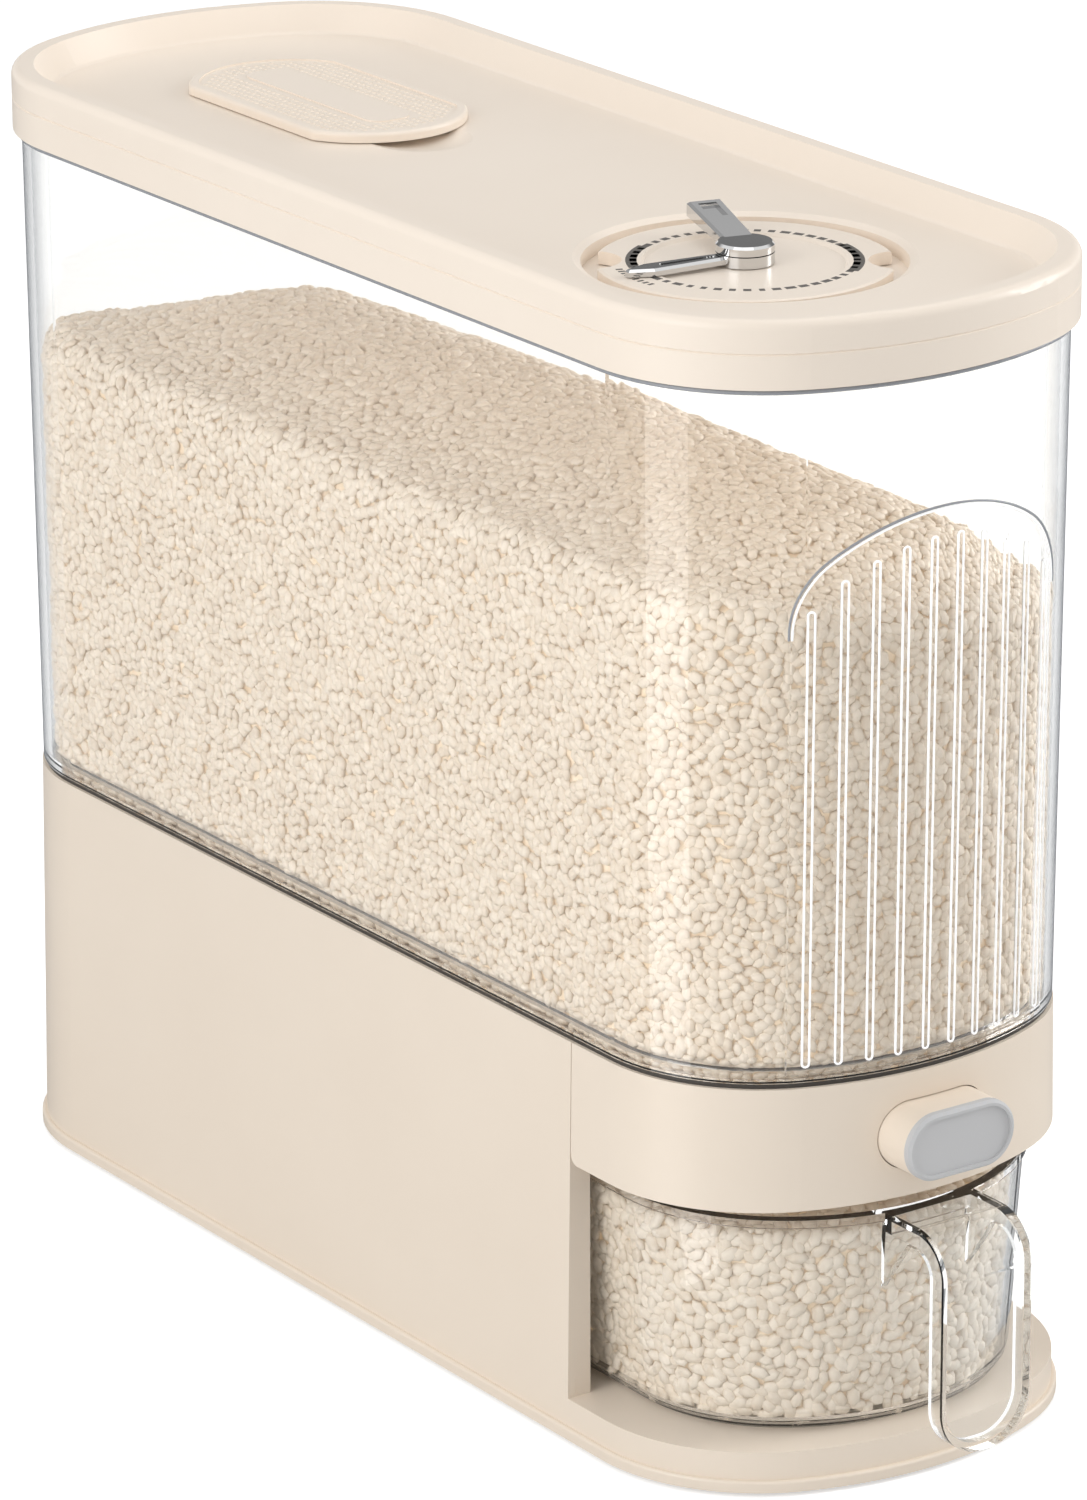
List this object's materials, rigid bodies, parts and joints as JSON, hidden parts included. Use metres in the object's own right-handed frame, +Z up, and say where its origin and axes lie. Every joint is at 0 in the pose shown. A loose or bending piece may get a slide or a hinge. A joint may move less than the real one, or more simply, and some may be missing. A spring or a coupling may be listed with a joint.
{
  "type": "rice dispenser",
  "caption": "Countertop dry food dispenser: clear tank on a moulded base, push button gate above a pull-out measuring cup, and a lid with a date dial and a desiccant compartment.",
  "frame": {"origin": "on the floor under the middle of the overall length and width", "axes": "+X across the width, +Y from the front towards the rear, +Z up; the button and the cup face -Y"},
  "size_m": [0.146, 0.41, 0.33],
  "materials": {
    "cream_plastic": "fine satin",
    "clear_plastic": "polished clear",
    "grey_plastic": "satin",
    "dark_gasket": "matt",
    "silicone": "matt translucent",
    "foot_rubber": "matt",
    "chrome_plate": "polished",
    "steel": "plain",
    "rice_grains": "uncooked white rice",
    "print_ink": "pad-printed marks"
  },
  "bodies": {
    "dispenser": {"base_plate": "cream_plastic", "rubber_feet": "foot_rubber", "housing_screws": "steel", "base_housing": "cream_plastic", "bay_liner": "cream_plastic", "front_band": "cream_plastic", "outlet_guide": "cream_plastic", "hopper": "cream_plastic", "return_springs": "steel", "tank_seal": "dark_gasket", "tank": "clear_plastic"},
    "dispense_button": {"button_body": "cream_plastic", "button_pad": "grey_plastic", "gate_plate": "cream_plastic"},
    "cup": {"measuring_cup": "clear_plastic"},
    "lid": {"lid_frame": "cream_plastic", "lid_cover": "cream_plastic", "lid_seal": "silicone", "desiccant_box": "cream_plastic"},
    "compartment_cover": {"desiccant_cover": "cream_plastic"},
    "dial": {"timer_disc": "cream_plastic", "disc_retainer": "cream_plastic", "hub_pin": "steel"},
    "lower_pointer": {"lower_hand": "chrome_plate"},
    "upper_pointer": {"upper_hand": "chrome_plate"}
  },
  "joints": [
    {"name": "button_press", "type": "slide", "parent": "dispenser", "child": "dispense_button", "axis": [0, 1, 0], "range_m": [0, 0.01], "stiffness_N_per_m": 250, "springref_m": -0.004, "deforming": ["return_springs"]},
    {"name": "cup_pull", "type": "slide", "parent": "dispenser", "child": "cup", "axis": [0, -1, 0], "range_m": [0, 0.18]},
    {"name": "lid_lift", "type": "slide", "parent": "dispenser", "child": "lid", "axis": [0, 0, 1], "range_m": [0, 0.12]},
    {"name": "desiccant_cover_lift", "type": "slide", "parent": "lid", "child": "compartment_cover", "axis": [0, 0, 1], "range_m": [0, 0.03]},
    {"name": "dial_turn", "type": "hinge", "parent": "lid", "child": "dial", "pos_m": [0, -0.094, 0.3186], "axis": [0, 0, 1], "continuous": true},
    {"name": "lower_hand_turn", "type": "hinge", "parent": "dial", "child": "lower_pointer", "pos_m": [0, -0.094, 0.3228], "axis": [0, 0, 1], "continuous": true},
    {"name": "upper_hand_turn", "type": "hinge", "parent": "dial", "child": "upper_pointer", "pos_m": [0, -0.094, 0.3276], "axis": [0, 0, 1], "continuous": true}
  ]
}
